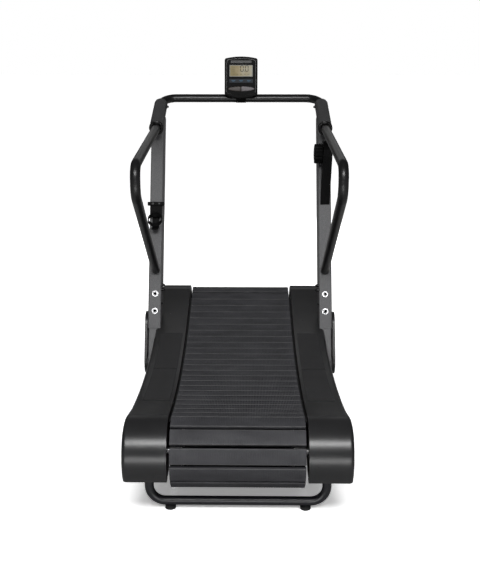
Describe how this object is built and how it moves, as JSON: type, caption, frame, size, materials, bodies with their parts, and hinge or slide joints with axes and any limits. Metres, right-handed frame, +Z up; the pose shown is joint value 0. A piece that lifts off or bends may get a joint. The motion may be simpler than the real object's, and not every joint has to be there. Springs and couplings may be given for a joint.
{
  "type": "curved manual treadmill",
  "caption": "Self-powered treadmill with a concave slat belt on drums, black foot rails, leaning uprights, looped handrails and a small console on a crossbar.",
  "frame": {"origin": "on the floor under the centre of the outline", "axes": "+X to the right of a runner who faces the console, +Y to the front (console) end, +Z up"},
  "size_m": [0.882, 1.7978, 1.5976],
  "materials": {
    "frame_black": "satin powder coat",
    "frame_grey": "textured powder coat",
    "upright_grey": "textured powder coat",
    "foot_tube": "satin powder coat",
    "bar_black": "satin powder coat",
    "grip_sleeve": "crinkled",
    "cover_black": "satin moulded",
    "grip_pad": "grained",
    "slat": "ribbed matt",
    "belt_rubber": "matt",
    "axle_steel": "ground",
    "pulley": "turned",
    "flywheel_iron": "painted casting",
    "bearing_housing": "painted casting",
    "roller": "ground",
    "moulded_black": "fine moulded texture",
    "console_black": "satin moulded",
    "window": "clear",
    "board": "matt",
    "button_dark": "matt",
    "button_grey": "matt",
    "wheel_rubber": "matt",
    "bolt_steel": "bright zinc"
  },
  "bodies": {
    "frame": {"bearing_plate_left": "frame_black", "bearing_plate_right": "frame_black", "bottle_holder": "moulded_black", "bracket_covers": "cover_black", "cage_screws": "bolt_steel", "clamp_bolts": "bolt_steel", "console_back": "console_black", "console_clamp": "moulded_black", "console_front": "console_black", "console_window": "window", "cross_members": "frame_black", "crossbar": "bar_black", "display_board": "board", "drive_belt": "belt_rubber", "flywheel_bracket": "frame_black", "foot_rail_left": "cover_black", "foot_rail_right": "cover_black", "front_cap_left": "cover_black", "front_cap_right": "cover_black", "front_foot_bar": "frame_black", "grip_pads": "grip_pad", "guide_rollers": "roller", "handrail_left": "bar_black", "handrail_right": "bar_black", "head_sleeves": "grip_sleeve", "pillow_blocks": "bearing_housing", "rear_cap_left": "cover_black", "rear_cap_right": "cover_black", "rear_foot_tube": "foot_tube", "resistance_housing": "moulded_black", "side_rail_left": "frame_black", "side_rail_right": "frame_black", "sleeve_collars": "moulded_black", "upright_bolts": "bolt_steel", "upright_left": "upright_grey", "upright_posts": "frame_grey", "upright_right": "upright_grey"},
    "button_left": {"button_left": "button_dark"},
    "button_right": {"button_right": "button_grey"},
    "flywheel": {"flywheel": "flywheel_iron"},
    "foot_front_left": {"foot_front_left": "wheel_rubber"},
    "foot_front_right": {"foot_front_right": "wheel_rubber"},
    "foot_rear_left": {"foot_rear_left": "wheel_rubber"},
    "foot_rear_right": {"foot_rear_right": "wheel_rubber"},
    "front_drum": {"front_axle": "axle_steel", "front_pulleys": "pulley"},
    "belt_front": {"links_front": "belt_rubber", "slats_front": "slat"},
    "belt_rear": {"links_rear": "belt_rubber", "slats_rear": "slat"},
    "belt_return": {"links_return": "belt_rubber", "slats_return": "slat"},
    "belt_top": {"links_top": "belt_rubber", "slats_top": "slat"},
    "magnet_yoke": {"magnet_yoke": "frame_black"},
    "rear_drum": {"rear_axle": "axle_steel", "rear_pulleys": "pulley"},
    "dial": {"resistance_dial": "moulded_black"},
    "wheel_left": {"wheel_left": "wheel_rubber"},
    "wheel_right": {"wheel_right": "wheel_rubber"}
  },
  "joints": [
    {"name": "front_drum_spin", "type": "hinge", "parent": "frame", "child": "front_drum", "pos_m": [0, 0.6479, 0.34049], "axis": [1, 0, 0], "continuous": true},
    {"name": "rear_drum_spin", "type": "hinge", "parent": "frame", "child": "rear_drum", "pos_m": [0, -0.7675, 0.244], "axis": [1, 0, 0], "continuous": true},
    {"name": "flywheel_spin", "type": "hinge", "parent": "frame", "child": "flywheel", "pos_m": [0, 0.40925, 0.32222], "axis": [1, 0, 0], "continuous": true},
    {"name": "belt_top_run", "type": "hinge", "parent": "frame", "child": "belt_top", "pos_m": [0, -0.25771, 3.19536], "axis": [1, 0, 0], "range_deg": [-0.36, 0.83]},
    {"name": "belt_rear_wrap", "type": "hinge", "parent": "frame", "child": "belt_rear", "pos_m": [0, -0.7675, 0.244], "axis": [1, 0, 0], "range_deg": [-22, 9.43]},
    {"name": "belt_front_wrap", "type": "hinge", "parent": "frame", "child": "belt_front", "pos_m": [0, 0.6479, 0.34049], "axis": [1, 0, 0], "range_deg": [-22, 9.43]},
    {"name": "belt_return_run", "type": "hinge", "parent": "frame", "child": "belt_return", "pos_m": [0, -0.60118, 8.23356], "axis": [1, 0, 0], "range_deg": [-0.2972, 0.1275]},
    {"name": "dial_turn", "type": "hinge", "parent": "frame", "child": "dial", "pos_m": [0.36, 0.51986, 1.16037], "axis": [1, 0, 0], "range_deg": [0, 240]},
    {"name": "magnet_swing", "type": "hinge", "parent": "frame", "child": "magnet_yoke", "pos_m": [0.312, 0.31488, 0.26567], "axis": [1, 0, 0], "range_deg": [-4.9, 0.1]},
    {"name": "button_left_press", "type": "slide", "parent": "frame", "child": "button_left", "axis": [0, 0.9848, -0.1736], "range_m": [0, 0.0012], "stiffness_N_per_m": 800},
    {"name": "wheel_left_roll", "type": "hinge", "parent": "frame", "child": "wheel_left", "pos_m": [-0.326, 0.668, 0.042], "axis": [1, 0, 0], "continuous": true},
    {"name": "foot_front_left_level", "type": "slide", "parent": "frame", "child": "foot_front_left", "axis": [0, 0, 1], "range_m": [-0.012, 0]},
    {"name": "foot_rear_left_level", "type": "slide", "parent": "frame", "child": "foot_rear_left", "axis": [0, 0, 1], "range_m": [-0.012, 0]},
    {"name": "button_right_press", "type": "slide", "parent": "frame", "child": "button_right", "axis": [0, 0.9848, -0.1736], "range_m": [0, 0.0012], "stiffness_N_per_m": 800},
    {"name": "wheel_right_roll", "type": "hinge", "parent": "frame", "child": "wheel_right", "pos_m": [0.326, 0.668, 0.042], "axis": [1, 0, 0], "continuous": true},
    {"name": "foot_front_right_level", "type": "slide", "parent": "frame", "child": "foot_front_right", "axis": [0, 0, 1], "range_m": [-0.012, 0]},
    {"name": "foot_rear_right_level", "type": "slide", "parent": "frame", "child": "foot_rear_right", "axis": [0, 0, 1], "range_m": [-0.012, 0]}
  ],
  "couplings": [
    {"joint": "rear_drum_spin", "follows": "front_drum_spin", "ratio": 1},
    {"joint": "flywheel_spin", "follows": "front_drum_spin", "ratio": 2.5},
    {"joint": "belt_rear_wrap", "follows": "belt_top_run", "ratio": -26.387},
    {"joint": "belt_front_wrap", "follows": "belt_top_run", "ratio": -26.387},
    {"joint": "belt_return_run", "follows": "belt_top_run", "ratio": -0.35623},
    {"joint": "magnet_swing", "follows": "dial_turn", "ratio": -0.02}
  ]
}
